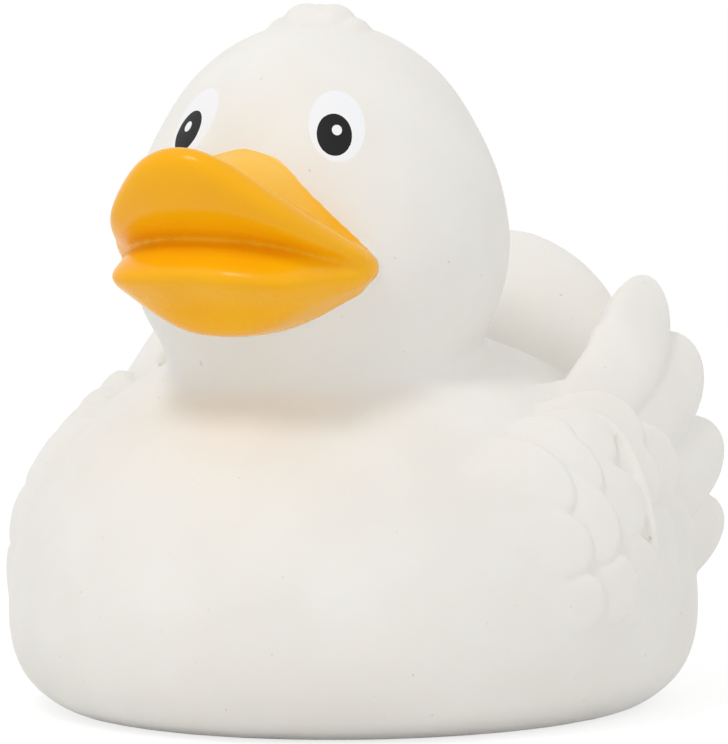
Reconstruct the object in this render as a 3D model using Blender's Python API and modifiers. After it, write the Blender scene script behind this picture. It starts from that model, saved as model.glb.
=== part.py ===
"""Bath duck: a hollow moulded vinyl skin with a squeaker pressed into its base.

The duck looks along -Y and stands on Z = 0. Its skin is blocked out in overlapping forms
(trunk, wing feathers, bill, tuft) that are fused and eased, flattened underneath, and
hollowed by the same trunk moved in by the wall. One half is kept and mirrored.
"""

import math

import bmesh
import bpy
from mathutils import Matrix, Vector

MM = 0.001
PRODUCT = "bath_duck"
FORMS = "forms"

# Body: a round bowl, widest low down
BODY_HALF_WIDTH = 38.6 * MM
BODY_FRONT = 42.3 * MM
BODY_BACK = 41.6 * MM
BODY_TOP = 43.3 * MM
GIRTH_HEIGHT = 10.5 * MM
BODY_TOP_FULLNESS = 2.08
BODY_FOOT_DEPTH = 21.5 * MM
BODY_FOOT_FULLNESS = 2.1
WALL = 1.8 * MM
FOOT_TOLERANCE = 0.2 * MM

# Head and neck: turned about an upright axis ahead of the body's centre
HEAD_AXIS_Y = -9.2 * MM
BROW_FULLNESS = 1.03
NECK_ROOT = (20.0 * MM, 30.0 * MM)
HEAD_OUTLINE = (
    (18.3 * MM, 37.5 * MM),
    (18.1 * MM, 40.2 * MM),
    (19.4 * MM, 44.0 * MM),
    (20.7 * MM, 47.6 * MM),
    (21.4 * MM, 51.9 * MM),
    (21.3 * MM, 54.7 * MM),
    (20.2 * MM, 60.1 * MM),
    (17.8 * MM, 65.6 * MM),
    (14.4 * MM, 70.9 * MM),
    (10.2 * MM, 74.6 * MM),
    (5.4 * MM, 76.9 * MM),
    (0.0, 77.7 * MM),
)

# Tail: a broad rounded paddle that leans back
TAIL_HALF_WIDTH = 20.0 * MM
TAIL_HALF_THICKNESS = 8.0 * MM
TAIL_HALF_LENGTH = 19.0 * MM
TAIL_TIP = (0.0, 40.5 * MM, 51.5 * MM)
TAIL_LEAN = math.radians(24)
TAIL_FULLNESS = 1.85

# Wing face: it hugs the body in front and stands off it towards the feather tips
WING_STAND = 1.7 * MM
WING_RISE = (-27.0 * MM, -8.0 * MM)
WING_LEAN = 1.0
WING_REAR_REACH = 36.6 * MM
WING_REAR_CREST = 22.0 * MM
WING_REAR_CURL = 13.5
WING_BLEND = (-16.0 * MM, 12.0 * MM)

# Feather tiers: height of root and tip over the wing face, tilt, depth, edge drop, softness
TIERS = {
    "pad": (0.1, -0.9, 0.0, 12.0, 3.6, 1.9),
    "primary": (-1.8, 0.1, 0.6, 6.6, 1.5, 0.8),
}

# Feathers: tier, root (y, z) and tip (y, z) seen from the side, half width, in mm
FEATHERS = (
    ("pad", (-32, 20), (17, 26.5), 14.6),
    ("primary", (-12, 31), (24, 48), 4.4),
    ("primary", (-10, 27), (24.6, 38.2), 5.8),
    ("primary", (-10, 20.5), (24.4, 29), 5.6),
    ("primary", (-12, 13.5), (23.8, 19.8), 5.6),
)
FEATHER_ROWS = 18
FEATHER_COLUMNS = 10
FEATHER_HEEL = 0.14
FEATHER_BLUNT = 0.6
FEATHER_ROOT_WIDTH = 0.78

# Coverts: scallops laid like shingles from the rear to the front, each a centre (y, z)
# seen from the side and a radius, in mm
SCALLOPS = (
    (3.6, 27.9, 5.0),
    (6.4, 19.8, 5.0),
    (1.4, 14.4, 3.4),
    (-1.9, 33.0, 4.6),
    (-0.4, 27.3, 3.6),
    (1.9, 19.6, 4.2),
    (-7.1, 32.2, 3.6),
    (-7.2, 25.0, 4.3),
    (-6.6, 16.4, 4.9),
    (-12.3, 16.0, 4.0),
    (-10.6, 33.4, 2.1),
    (-13.1, 29.8, 4.7),
    (-14.7, 23.7, 5.1),
    (-17.4, 14.7, 3.6),
    (-18.8, 29.0, 5.2),
    (-18.5, 21.2, 3.8),
)
SCALLOP_TOP = 0.45
SCALLOP_SLOPE = 0.1
SCALLOP_EDGE = 0.5
SCALLOP_ROUND = 1.2
SCALLOP_GROOVE = 0.3
RELIEF_LENGTH = (-26.0, 16.0)
RELIEF_FOOT = 8.0
RELIEF_SHARE = 0.9
RELIEF_STEP = 0.8
RELIEF_BED = 4.0
RELIEF_FADE = (32.0, 5.0)

# Bead: a raised line that edges the front coverts, sunk into them at both ends
LEADING_RIDGE = (
    (-5.4, 35.8),
    (-3.6, 34.2),
    (-2.8, 32.7),
    (-2.3, 30.6),
    (-2.2, 26.6),
    (-2.3, 21.5),
    (-1.5, 16.8),
    (-1.7, 13.0),
)
RIDGE_RADIUS = 0.75 * MM
RIDGE_HEIGHT = 0.6 * MM
RIDGE_SINK = 1.8 * MM
RIDGE_SIDES = 10

# Bill: each line runs from its middle to the corner of the mouth, through (x, y, z) in mm,
# with y counted from the head's axis
BILL_LINES = {
    "buried_root": (
        (0, -11, 65.3), (5, -10.5, 63.8), (9, -10, 60.9), (11.5, -9.5, 57.6), (12.5, -9, 55)
    ),
    "root": (
        (0, -18.3, 64.7), (4, -17.8, 63.6), (8, -16.6, 60.2), (11.2, -15.2, 56.8), (13.4, -14.6, 53.8)
    ),
    "valley": (
        (0, -25.1, 61.5), (4.5, -24.4, 60.6), (8.9, -22.1, 58.1), (12, -19.3, 55.6), (14.1, -15.8, 53.1)
    ),
    "rise": (
        (0, -31.7, 63.8), (4.8, -31, 62.6), (9.2, -27.9, 59.5), (12.5, -23.1, 56.5), (14.6, -16.6, 53)
    ),
    "crest": (
        (0, -34.8, 65.5), (4.8, -34, 64.1), (9.6, -30.2, 60.4), (12.7, -24.4, 56.6), (14.9, -17, 52.7)
    ),
    "lip": (
        (0, -36.2, 63.4), (5.1, -35.2, 62), (10.2, -30.9, 58.3), (13, -24.8, 55.3), (15, -17.1, 52.1)
    ),
    "palate": (
        (0, -33.9, 59.1), (5.1, -33, 58.3), (10, -29.4, 56.1), (12.8, -23.8, 54.1), (14.8, -16.8, 51.7)
    ),
    "gape": (
        (0, -30.2, 56), (4.9, -29.6, 55.6), (9.4, -27, 54.5), (12.1, -22.5, 53.1), (14.5, -16.4, 51.5)
    ),
    "mouth": (
        (0, -27.9, 54.6), (4.8, -27.4, 54.3), (9.1, -25.1, 53.5), (11.8, -21.4, 52.5), (14.3, -16, 51.3)
    ),
    "tongue": (
        (0, -30, 53.4), (4.8, -29.5, 53.2), (9.5, -27.2, 52.6), (12.2, -22.8, 52), (14.5, -16.5, 51.2)
    ),
    "lower_lip": (
        (0, -31.3, 50.9), (5.2, -31, 50.7), (10.4, -28.3, 50.4), (12.8, -23.5, 50.3), (14.7, -16.7, 50.5)
    ),
    "jaw": (
        (0, -29.2, 47.7), (5, -28.6, 47.6), (9.8, -26, 47.7), (12.2, -21.7, 48.3), (14.3, -16.2, 49.8)
    ),
    "chin": (
        (0, -23.4, 44.3), (4.3, -22.5, 44.6), (8.4, -20.1, 46), (11.4, -17.5, 47.8), (13.7, -15.3, 49.3)
    ),
    "buried_chin": (
        (0, -15, 41.2), (4, -14.5, 41.7), (8, -13, 43.2), (11, -11.5, 45.1), (12.3, -10, 47.3)
    ),
}
BILL_ACROSS = 5
BILL_ALONG = 4
BILL_CORE = (11.0, -9.0, 53.0)
BILL_HUB = (0.0, -6.0, 54.0)
BILL_CORNER = (15.0, -15.0, 52.0)
BILL_PROUD = 0.9

# Tuft: short curls fanned out on the crown, each with a lean, a length and a half width
CURLS = (
    (-68, 9.2 * MM, 2.4 * MM),
    (-30, 8.0 * MM, 2.8 * MM),
    (6, 8.2 * MM, 2.5 * MM),
    (44, 8.4 * MM, 2.4 * MM),
    (72, 8.6 * MM, 1.8 * MM),
)
TUFT_HEIGHT = 71.8 * MM
TUFT_HALF_DEPTH = 3.4 * MM

# Eyes: printed ovals (height, half width, half height) at an angle round the head's axis
EYE_ANGLE = 31.0
EYE_WHITE = (66.7 * MM, 3.2 * MM, 3.95 * MM)
EYE_PUPIL = (65.8 * MM, 1.95 * MM, 2.3 * MM)
PAINT_FRONT = 8.5 * MM
PAINT_CUTS = 3
BILL_GRAIN = 0.8 * MM
EYE_GRAIN = 0.45 * MM

# Squeaker: a cap that snaps into a stepped hole in the base, with a reed inside
HOLE_RADIUS = 6.0 * MM
RECESS_RADIUS = 8.2 * MM
RECESS_DEPTH = 1.6 * MM
CLEARANCE = 0.3 * MM
BARB = 0.8 * MM
CAP_HEIGHT = 8.5 * MM
CAP_WALL = 1.1 * MM
CAP_SETBACK = 0.5 * MM
AIR_HOLE_RADIUS = 1.6 * MM
REED_HEIGHT = 4.0 * MM
REED_BORE_RADIUS = 0.9 * MM
TURNING_STEPS = 48
SHARP_ANGLE = math.radians(40)

# How finely the skin and the hollow are made
SKIN_VOXEL = 0.62 * MM
TRUNK_VOXEL = 1.0 * MM
CAVITY_VOXEL = 1.6 * MM
TRUNK_PASSES = 22
SKIN_PASSES = 5
CAVITY_PASSES = 6
SKIN_FACES = 7600
CAVITY_FACES = 900

# Materials: name, colour, roughness
VINYL = ("duck_vinyl", (0.86, 0.85, 0.80, 1), 0.5)
ORANGE = ("bill_paint", (0.93, 0.45, 0.03, 1), 0.3)
WHITE_INK = ("eye_white_ink", (0.92, 0.92, 0.93, 1), 0.45)
BLACK_INK = ("eye_black_ink", (0.02, 0.02, 0.02, 1), 0.4)
CAP_PLASTIC = ("squeaker_plastic", (0.82, 0.82, 0.80, 1), 0.4)
REED_PLASTIC = ("reed_plastic", (0.70, 0.20, 0.15, 1), 0.4)


def collection(name):
    made = bpy.data.collections.get(name)
    if made is None:
        made = bpy.data.collections.new(name)
        bpy.context.scene.collection.children.link(made)
    return made


def material(spec):
    name, colour, roughness = spec
    made = bpy.data.materials.get(name) or bpy.data.materials.new(name)
    made.use_nodes = True
    made.diffuse_color = colour
    shader = made.node_tree.nodes["Principled BSDF"]
    shader.inputs["Base Color"].default_value = colour
    shader.inputs["Roughness"].default_value = roughness
    return made


def mesh_object(name, bm):
    bmesh.ops.recalc_face_normals(bm, faces=bm.faces)
    mesh = bpy.data.meshes.new(name)
    bm.to_mesh(mesh)
    bm.free()
    obj = bpy.data.objects.new(name, mesh)
    collection(FORMS).objects.link(obj)
    return obj


def baked(obj, name=None):
    """A new object that holds what the modifiers of obj make, in its place."""
    bpy.context.view_layer.update()
    graph = bpy.context.evaluated_depsgraph_get()
    mesh = bpy.data.meshes.new_from_object(obj.evaluated_get(graph))
    name = name or obj.name
    bpy.data.objects.remove(obj)
    made = bpy.data.objects.new(name, mesh)
    collection(FORMS).objects.link(made)
    return made


def smooth_line(points, steps):
    """Points along a Catmull-Rom curve that passes through the given ones."""
    ends = [2 * points[0] - points[1], *points, 2 * points[-1] - points[-2]]
    line = []
    for a, b, c, d in zip(ends, ends[1:], ends[2:], ends[3:]):
        for k in range(steps):
            t = k / steps
            cubic = (3 * b - a - 3 * c + d) * t**3
            square = (2 * a - 5 * b + 4 * c - d) * t**2
            line.append(0.5 * (2 * b + (c - a) * t + square + cubic))
    line.append(points[-1])
    return line


def fuller(spread, fullness):
    """How far a unit ball's point moves out, or in, to take on another fullness."""
    return spread ** (2 / fullness) / spread if spread > 1e-6 else 0


def ball(segments, rings):
    bm = bmesh.new()
    bmesh.ops.create_uvsphere(bm, u_segments=segments, v_segments=rings, radius=1)
    return bm


def screwed(name, points, steps):
    """A closed form turned about Z from a profile that runs down its outer side."""
    bm = bmesh.new()
    verts = [bm.verts.new((r, 0, z)) for r, z in points]
    for a, b in zip(verts, verts[1:]):
        bm.edges.new((a, b))
    if points[0][0] > 0:
        bm.edges.new((verts[-1], verts[0]))
    mesh = bpy.data.meshes.new(name)
    bm.to_mesh(mesh)
    bm.free()
    obj = bpy.data.objects.new(name, mesh)
    collection(FORMS).objects.link(obj)
    turn = obj.modifiers.new("turn", "SCREW")
    turn.steps = turn.render_steps = steps
    turn.use_merge_vertices = True
    turn.merge_threshold = 0.00001
    made = baked(obj)
    bm = bmesh.new()
    bm.from_mesh(made.data)
    bmesh.ops.remove_doubles(bm, verts=bm.verts, dist=1e-7)
    bmesh.ops.recalc_face_normals(bm, faces=bm.faces)
    bm.to_mesh(made.data)
    bm.free()
    return made


def torso_form(inset=0.0):
    bm = ball(72, 64)
    for v in bm.verts:
        x, y, z = v.co
        upper = z > 0
        fullness = BODY_TOP_FULLNESS if upper else BODY_FOOT_FULLNESS
        depth = (BODY_TOP - GIRTH_HEIGHT if upper else BODY_FOOT_DEPTH) - inset
        widen = fuller(math.hypot(x, y), fullness)
        length = (BODY_FRONT if y < 0 else BODY_BACK) - inset
        height = GIRTH_HEIGHT + z * fuller(abs(z), fullness) * depth
        v.co = (x * widen * (BODY_HALF_WIDTH - inset), y * widen * length, max(height, inset))
    return mesh_object("torso_form", bm)


def head_form(inset=0.0):
    """The head and neck, moved in by inset, with the brow a little fuller than the nape."""
    outline = [Vector((r, z)) for r, z in HEAD_OUTLINE]
    line = smooth_line(outline, 5)
    neck, crown = HEAD_OUTLINE[0][1], HEAD_OUTLINE[-1][1]
    narrow = 1 - inset / max(r for r, z in HEAD_OUTLINE)
    lower = 1 - inset / (crown - neck)
    points = [(0.0, NECK_ROOT[1]), (NECK_ROOT[0] * narrow, NECK_ROOT[1])]
    points += [(max(0.0, p.x) * narrow, neck + (p.y - neck) * lower) for p in line]
    head = screwed("head_form", points[::-1], 72)
    cheek = HEAD_OUTLINE[4][1]
    chin = HEAD_OUTLINE[2][1]
    for v in head.data.vertices:
        swell = min(1.0, max(0.0, (v.co.z - chin) / (cheek - chin)))
        if v.co.y < 0:
            v.co.y *= 1 + (BROW_FULLNESS - 1) * swell
        v.co.y += HEAD_AXIS_Y
    return head


def tail_form():
    bm = ball(32, 24)
    for v in bm.verts:
        x, y, z = v.co
        widen = fuller(math.hypot(x, y), TAIL_FULLNESS)
        rise = z * fuller(abs(z), TAIL_FULLNESS) - 1
        v.co = (x * widen * TAIL_HALF_WIDTH, y * widen * TAIL_HALF_THICKNESS, rise * TAIL_HALF_LENGTH)
    bmesh.ops.rotate(bm, matrix=Matrix.Rotation(-TAIL_LEAN, 3, "X"), verts=bm.verts)
    bmesh.ops.translate(bm, vec=TAIL_TIP, verts=bm.verts)
    return mesh_object("tail_form", bm)


def eased(value, start, end):
    """A smooth step from 0 at start to 1 at end."""
    t = min(1.0, max(0.0, (value - start) / (end - start)))
    return t * t * (3 - 2 * t)


def wing_reach(y, z):
    """How far out the wing's face is at (y, z) seen from the side: never inside the body."""
    stand = WING_STAND * eased(y + WING_LEAN * (z - WING_REAR_CREST), *WING_RISE)
    rise = (z - GIRTH_HEIGHT) / (BODY_TOP - GIRTH_HEIGHT + stand)
    girth = max(0.1, 1 - max(0.0, rise) ** 2) ** 0.5
    length = ((BODY_FRONT if y < 0 else BODY_BACK) + stand) * girth
    hug = (BODY_HALF_WIDTH + stand) * girth * max(0.05, 1 - (y / length) ** 2) ** 0.5
    rear = WING_REAR_REACH - WING_REAR_CURL * (z - WING_REAR_CREST) ** 2
    wing = hug + (rear - hug) * eased(y, *WING_BLEND)
    waist = max(0.05, 1 - (max(0.0, z - GIRTH_HEIGHT) / (BODY_TOP - GIRTH_HEIGHT)) ** 2) ** 0.5
    across = y / (waist * (BODY_FRONT if y < 0 else BODY_BACK))
    body = BODY_HALF_WIDTH * waist * max(0.02, 1 - across**2) ** 0.5
    return max(wing, body)


def wing_point(y, z, height):
    """A point of the wing's face, seen from the side at (y, z), raised by height."""
    step = 0.5 * MM
    slope_y = (wing_reach(y + step, z) - wing_reach(y - step, z)) / (2 * step)
    slope_z = (wing_reach(y, z + step) - wing_reach(y, z - step)) / (2 * step)
    out = Vector((1, -slope_y, -slope_z)).normalized()
    return Vector((wing_reach(y, z), y, z)) + out * height


def feather_form(tier, root, tip, half_width):
    """A leaf laid on the wing's face: blunt at its tip, domed outside, deep inside."""
    low, high, tilt, depth, drop, soft = TIERS[tier]
    root, tip = Vector(root), Vector(tip)
    along = tip - root
    across = Vector((along.y, -along.x)).normalized()
    bm = bmesh.new()
    for side in (1, -1):
        grid = []
        for i in range(FEATHER_ROWS + 1):
            s = 0.5 - 0.5 * math.cos(math.pi * i / FEATHER_ROWS)
            past = max(0.0, s - FEATHER_BLUNT) / (1 - FEATHER_BLUNT)
            heel = 1 - min(1.0, s / FEATHER_HEEL)
            end = (max(0.0, 1 - past**2) * (1 - heel**2)) ** 0.5
            widen = FEATHER_ROOT_WIDTH + (1 - FEATHER_ROOT_WIDTH) * min(1, s / FEATHER_BLUNT)
            width = half_width * end * widen
            line = []
            for j in range(FEATHER_COLUMNS + 1):
                t = -math.cos(math.pi * j / FEATHER_COLUMNS)
                edge = (max(0.0, 1 - t * t) ** 0.5) * end
                place = root + along * s + across * (t * width)
                height = low + (high - low) * s + tilt * t * end
                if side > 0:
                    height -= drop * (1 - edge**soft)
                else:
                    height -= drop + (depth - drop) * edge
                line.append(bm.verts.new(wing_point(place.x * MM, place.y * MM, height * MM)))
            grid.append(line)
        for a, b in zip(grid, grid[1:]):
            for k in range(FEATHER_COLUMNS):
                bm.faces.new((a[k], b[k], b[k + 1], a[k + 1])[::side])
    bmesh.ops.remove_doubles(bm, verts=bm.verts, dist=1e-6)
    return mesh_object(tier + "_form", bm)


def relief(y, z):
    """The coverts' height over the wing's face, in mm, each row lying on those behind it."""
    height = -RELIEF_BED
    for centre_y, centre_z, radius in SCALLOPS:
        ahead, aside = centre_y - y, abs(z - centre_z)
        inside = radius - (aside if ahead > 0 else math.hypot(ahead, aside))
        if inside > 0:
            turned = max(0.0, 1 - inside / SCALLOP_ROUND)
            crown = SCALLOP_TOP - SCALLOP_SLOPE * (ahead + radius)
            height = max(height, crown - SCALLOP_EDGE * (1 - (1 - turned**2) ** 0.5))
        elif ahead < 0:
            height -= SCALLOP_GROOVE * max(0.0, 1 + inside / SCALLOP_ROUND) ** 2
    start, length = RELIEF_FADE
    return height - max(0.0, (z - start) / length) ** 2


def coverts_form():
    """All the scallops of a wing as one relief over its face, closed inside the body."""
    front, back = RELIEF_LENGTH
    columns = round((back - front) / RELIEF_STEP)
    rows = round((BODY_TOP / MM - RELIEF_FOOT) / RELIEF_STEP)
    bm = bmesh.new()
    sheets = []
    for outer in (True, False):
        sheet = []
        for i in range(columns + 1):
            y = front + RELIEF_STEP * i
            across = y * MM / (BODY_FRONT if y < 0 else BODY_BACK)
            top = GIRTH_HEIGHT + RELIEF_SHARE * (BODY_TOP - GIRTH_HEIGHT) * (1 - across**2) ** 0.5
            line = []
            for k in range(rows + 1):
                z = RELIEF_FOOT + (top / MM - RELIEF_FOOT) * k / rows
                height = max(relief(y, z), 0.5 - RELIEF_BED) if outer else -RELIEF_BED
                line.append(bm.verts.new(wing_point(y * MM, z * MM, height * MM)))
            sheet.append(line)
        sheets.append(sheet)
    for sheet in sheets:
        for a, b in zip(sheet, sheet[1:]):
            for k in range(rows):
                bm.faces.new((a[k], b[k], b[k + 1], a[k + 1]))
    rims = [[*s[0], *[line[-1] for line in s[1:]], *s[-1][-2::-1], *[line[0] for line in s[-2:0:-1]]] for s in sheets]
    for k, (a, b) in enumerate(zip(*rims)):
        n = (k + 1) % len(rims[0])
        bm.faces.new((a, b, rims[1][n], rims[0][n]))
    return mesh_object("coverts_form", bm)


def ridge_form():
    """The raised bead that edges the front coverts."""
    line = smooth_line([Vector(p) for p in LEADING_RIDGE], 5)
    spine = []
    for i, p in enumerate(line):
        swell = math.sin(math.pi * (i + 0.5) / len(line))
        spine.append(wing_point(p.x * MM, p.y * MM, RIDGE_HEIGHT - RIDGE_SINK * (1 - swell) ** 2))
    bm = bmesh.new()
    rings = []
    for i, point in enumerate(spine):
        ahead = spine[min(i + 1, len(spine) - 1)] - spine[max(i - 1, 0)]
        out = ahead.cross(Vector((1, 0, 0))).normalized()
        up = out.cross(ahead).normalized()
        radius = RIDGE_RADIUS * math.sin(math.pi * (i + 0.5) / len(spine)) ** 0.5
        turns = [2 * math.pi * k / RIDGE_SIDES for k in range(RIDGE_SIDES)]
        rings.append([bm.verts.new(point + (out * math.cos(t) + up * math.sin(t)) * radius) for t in turns])
    for a, b in zip(rings, rings[1:]):
        for k in range(RIDGE_SIDES):
            n = (k + 1) % RIDGE_SIDES
            bm.faces.new((a[k], a[n], b[n], b[k]))
    bm.faces.new(rings[0])
    bm.faces.new(rings[-1])
    return mesh_object("ridge_form", bm)


def bill_form():
    """The bill as a loft through its lines, closed inside the head."""
    core = Vector(BILL_CORE)
    lines = []
    for line in BILL_LINES.values():
        half = [Vector(p) for p in line] + [core]
        whole = [Vector((-p.x, p.y, p.z)) for p in reversed(half[1:])] + half
        lines.append(smooth_line(whole, BILL_ACROSS))
    columns = [smooth_line([line[k] for line in lines], BILL_ALONG) for k in range(len(lines[0]))]
    bm = bmesh.new()
    grid = [[bm.verts.new(p * MM) for p in column] for column in columns]
    for a, b in zip(grid, grid[1:]):
        for k in range(len(a) - 1):
            bm.faces.new((a[k], b[k], b[k + 1], a[k + 1]))
    hub = bm.verts.new(Vector(BILL_HUB) * MM)
    ends = [[column[row] for column in grid] for row in (0, -1)]
    for edge in (*ends, grid[0], grid[-1]):
        for a, b in zip(edge, edge[1:]):
            bm.faces.new((a, b, hub))
    bmesh.ops.remove_doubles(bm, verts=bm.verts, dist=1e-6)
    bmesh.ops.translate(bm, vec=(0, HEAD_AXIS_Y, 0), verts=bm.verts)
    return mesh_object("bill_form", bm)


def curl_form(lean, length, half_width):
    bm = ball(20, 14)
    bmesh.ops.scale(bm, vec=(half_width, TUFT_HALF_DEPTH, length / 2), verts=bm.verts)
    bmesh.ops.translate(bm, vec=(0, 0, length / 2), verts=bm.verts)
    bmesh.ops.rotate(bm, matrix=Matrix.Rotation(math.radians(lean), 3, "Y"), verts=bm.verts)
    bmesh.ops.translate(bm, vec=(0, HEAD_AXIS_Y, TUFT_HEIGHT), verts=bm.verts)
    return mesh_object("curl_form", bm)


def fuse(name, forms, voxel, passes):
    """One closed skin round all the forms, its creases eased by passes of smoothing."""
    bm = bmesh.new()
    for form in forms:
        bm.from_mesh(form.data)
        bpy.data.objects.remove(form)
    obj = mesh_object(name, bm)
    weld = obj.modifiers.new("fuse", "REMESH")
    weld.mode = "VOXEL"
    weld.voxel_size = voxel
    ease = obj.modifiers.new("ease", "SMOOTH")
    ease.factor = 0.5
    ease.iterations = passes
    return baked(obj)


def thinned(obj, faces):
    triangles = sum(len(p.vertices) - 2 for p in obj.data.polygons)
    thin = obj.modifiers.new("thin", "DECIMATE")
    thin.ratio = min(1.0, faces / triangles)
    return baked(obj)


def mirrored_half(obj):
    """Keep the +X half, square to the middle plane, and mirror it."""
    bm = bmesh.new()
    bm.from_mesh(obj.data)
    whole = [*bm.verts, *bm.edges, *bm.faces]
    bmesh.ops.bisect_plane(
        bm, geom=whole, dist=1e-5, plane_co=(0, 0, 0), plane_no=(-1, 0, 0), clear_outer=True
    )
    for v in bm.verts:
        if abs(v.co.x) < 2e-5:
            v.co.x = 0
    bmesh.ops.dissolve_degenerate(bm, dist=2e-5, edges=bm.edges)
    bmesh.ops.triangulate(bm, faces=bm.faces)
    bm.to_mesh(obj.data)
    bm.free()
    mirror = obj.modifiers.new("mirror", "MIRROR")
    mirror.merge_threshold = 0.000001
    return baked(obj)


def cut(obj, cutter):
    difference = obj.modifiers.new("cut", "BOOLEAN")
    difference.operation = "DIFFERENCE"
    difference.solver = "EXACT"
    difference.object = cutter
    made = baked(obj)
    bpy.data.objects.remove(cutter)
    return made


def flattened_foot(obj):
    """Press what lies within the foot's tolerance of the ground flat onto it."""
    bm = bmesh.new()
    bm.from_mesh(obj.data)
    for v in bm.verts:
        if v.co.z < FOOT_TOLERANCE:
            v.co.z = 0
    bmesh.ops.dissolve_degenerate(bm, dist=2e-5, edges=bm.edges)
    bmesh.ops.triangulate(bm, faces=bm.faces)
    bm.to_mesh(obj.data)
    bm.free()
    return obj


def squeaker_seat():
    """The stepped hole in the base that the squeaker's cap snaps into."""
    top = RECESS_DEPTH + WALL + CLEARANCE
    outline = (
        (0, top),
        (HOLE_RADIUS, top),
        (HOLE_RADIUS, RECESS_DEPTH),
        (RECESS_RADIUS, RECESS_DEPTH),
        (RECESS_RADIUS, -WALL),
        (0, -WALL),
    )
    return screwed("squeaker_seat", outline, TURNING_STEPS)


def seat_boss():
    """The thick ring that the hollow leaves round the squeaker."""
    radius = RECESS_RADIUS + WALL
    top = RECESS_DEPTH + WALL
    outline = ((0, top), (radius, top), (radius, 0), (0, 0))
    return screwed("seat_boss", outline, TURNING_STEPS)


def head_radius(z):
    for (ra, za), (rb, zb) in zip(HEAD_OUTLINE, HEAD_OUTLINE[1:]):
        if z <= zb:
            return ra + (rb - ra) * (z - za) / (zb - za)
    return 0.0


def bill_height(line, x):
    """The height of one line of the bill at x, in mm."""
    points = (*BILL_LINES[line], BILL_CORNER)
    for (xa, _, za), (xb, _, zb) in zip(points, points[1:]):
        if x <= xb:
            return za + (zb - za) * (x - xa) / (xb - xa)
    return BILL_CORNER[2]


def coat_at(place):
    """Which coat lies on the skin at a place: 0 vinyl, 1 bill, 2 eye white, 3 pupil."""
    x, y, z = abs(place.x), place.y - HEAD_AXIS_Y, place.z
    if y > -PAINT_FRONT or z < HEAD_OUTLINE[1][1]:
        return 0
    proud = math.hypot(x, y / BROW_FULLNESS) - head_radius(z)
    if proud > BILL_PROUD * MM and z < BILL_LINES["crest"][0][2] * MM:
        return 1
    if x < BILL_CORNER[0] * MM:
        if bill_height("chin", x / MM) < z / MM < bill_height("root", x / MM):
            return 1
    aside = (math.atan2(x, -y) - math.radians(EYE_ANGLE)) * math.hypot(x, y)
    coat = 0
    for number, (height, wide, tall) in ((2, EYE_WHITE), (3, EYE_PUPIL)):
        if (aside / wide) ** 2 + ((z - height) / tall) ** 2 < 1:
            coat = number
    return coat


def paint(duck):
    """Give the bill and the printed eyes their own materials, cut finely at their edges."""
    for spec in (VINYL, ORANGE, WHITE_INK, BLACK_INK):
        duck.data.materials.append(material(spec))
    bm = bmesh.new()
    bm.from_mesh(duck.data)
    for _ in range(PAINT_CUTS):
        mixed = []
        for edge in bm.edges:
            a, b = (v.co for v in edge.verts)
            coats = {coat_at(a.lerp(b, share)) for share in (0, 0.33, 0.67, 1)}
            grain = EYE_GRAIN if coats & {2, 3} else BILL_GRAIN
            if len(coats) > 1 and edge.calc_length() > grain:
                mixed.append(edge)
        bmesh.ops.subdivide_edges(bm, edges=mixed, cuts=1)
        bmesh.ops.triangulate(bm, faces=bm.faces)
    for face in bm.faces:
        face.material_index = coat_at(face.calc_center_median())
    bm.to_mesh(duck.data)
    bm.free()


def finished(obj, spec=None):
    """Move a piece to the product's own collection, shaded smooth with its edges kept."""
    if spec:
        obj.data.materials.append(material(spec))
    obj.data.shade_smooth()
    obj.data.set_sharp_from_angle(angle=SHARP_ANGLE)
    collection(FORMS).objects.unlink(obj)
    collection(PRODUCT).objects.link(obj)


def duck_skin():
    forms = [torso_form(), head_form(), tail_form()]
    trunk = fuse("trunk", forms, TRUNK_VOXEL, TRUNK_PASSES)
    feathers = [feather_form(*feather) for feather in FEATHERS]
    curls = [curl_form(*curl) for curl in CURLS]
    wing = [*feathers, coverts_form(), ridge_form()]
    whole = fuse("duck", [trunk, *wing, bill_form(), *curls], SKIN_VOXEL, SKIN_PASSES)
    skin = flattened_foot(mirrored_half(thinned(whole, SKIN_FACES)))
    hollow = fuse("hollow", [torso_form(WALL), head_form(WALL)], CAVITY_VOXEL, CAVITY_PASSES)
    hollow = cut(thinned(hollow, CAVITY_FACES), seat_boss())
    skin = cut(cut(skin, hollow), squeaker_seat())
    skin.name = "duck"
    return skin


def squeaker_cap():
    """A flanged cup: its neck passes the hole and its barb holds it behind the wall."""
    flange = RECESS_RADIUS - CLEARANCE
    neck = HOLE_RADIUS - CLEARANCE
    seat = RECESS_DEPTH - CLEARANCE
    wall_top = RECESS_DEPTH + WALL + CLEARANCE
    top = CAP_SETBACK + CAP_HEIGHT
    bore = neck - CAP_WALL
    floor = CAP_SETBACK + CAP_WALL
    outline = (
        (bore, top),
        (neck, top),
        (neck, top - 2 * BARB),
        (neck + BARB, wall_top + BARB),
        (neck + BARB, wall_top),
        (neck, wall_top),
        (neck, seat),
        (flange, seat),
        (flange, CAP_SETBACK),
        (AIR_HOLE_RADIUS, CAP_SETBACK),
        (AIR_HOLE_RADIUS, floor),
        (bore, floor),
    )
    return screwed("squeaker_cap", outline, TURNING_STEPS)


def squeaker_reed():
    """A stepped plug that sits on the cap's floor and carries the tongue that sounds."""
    wide = HOLE_RADIUS - CLEARANCE - CAP_WALL - CLEARANCE
    floor = CAP_SETBACK + CAP_WALL + CLEARANCE
    shoulder = floor + CAP_WALL
    top = floor + REED_HEIGHT
    narrow = 2 * REED_BORE_RADIUS
    outline = (
        (REED_BORE_RADIUS, top),
        (narrow, top),
        (narrow + CAP_WALL / 2, shoulder),
        (wide, shoulder),
        (wide, floor),
        (REED_BORE_RADIUS, floor),
    )
    return screwed("squeaker_reed", outline, TURNING_STEPS)


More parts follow.
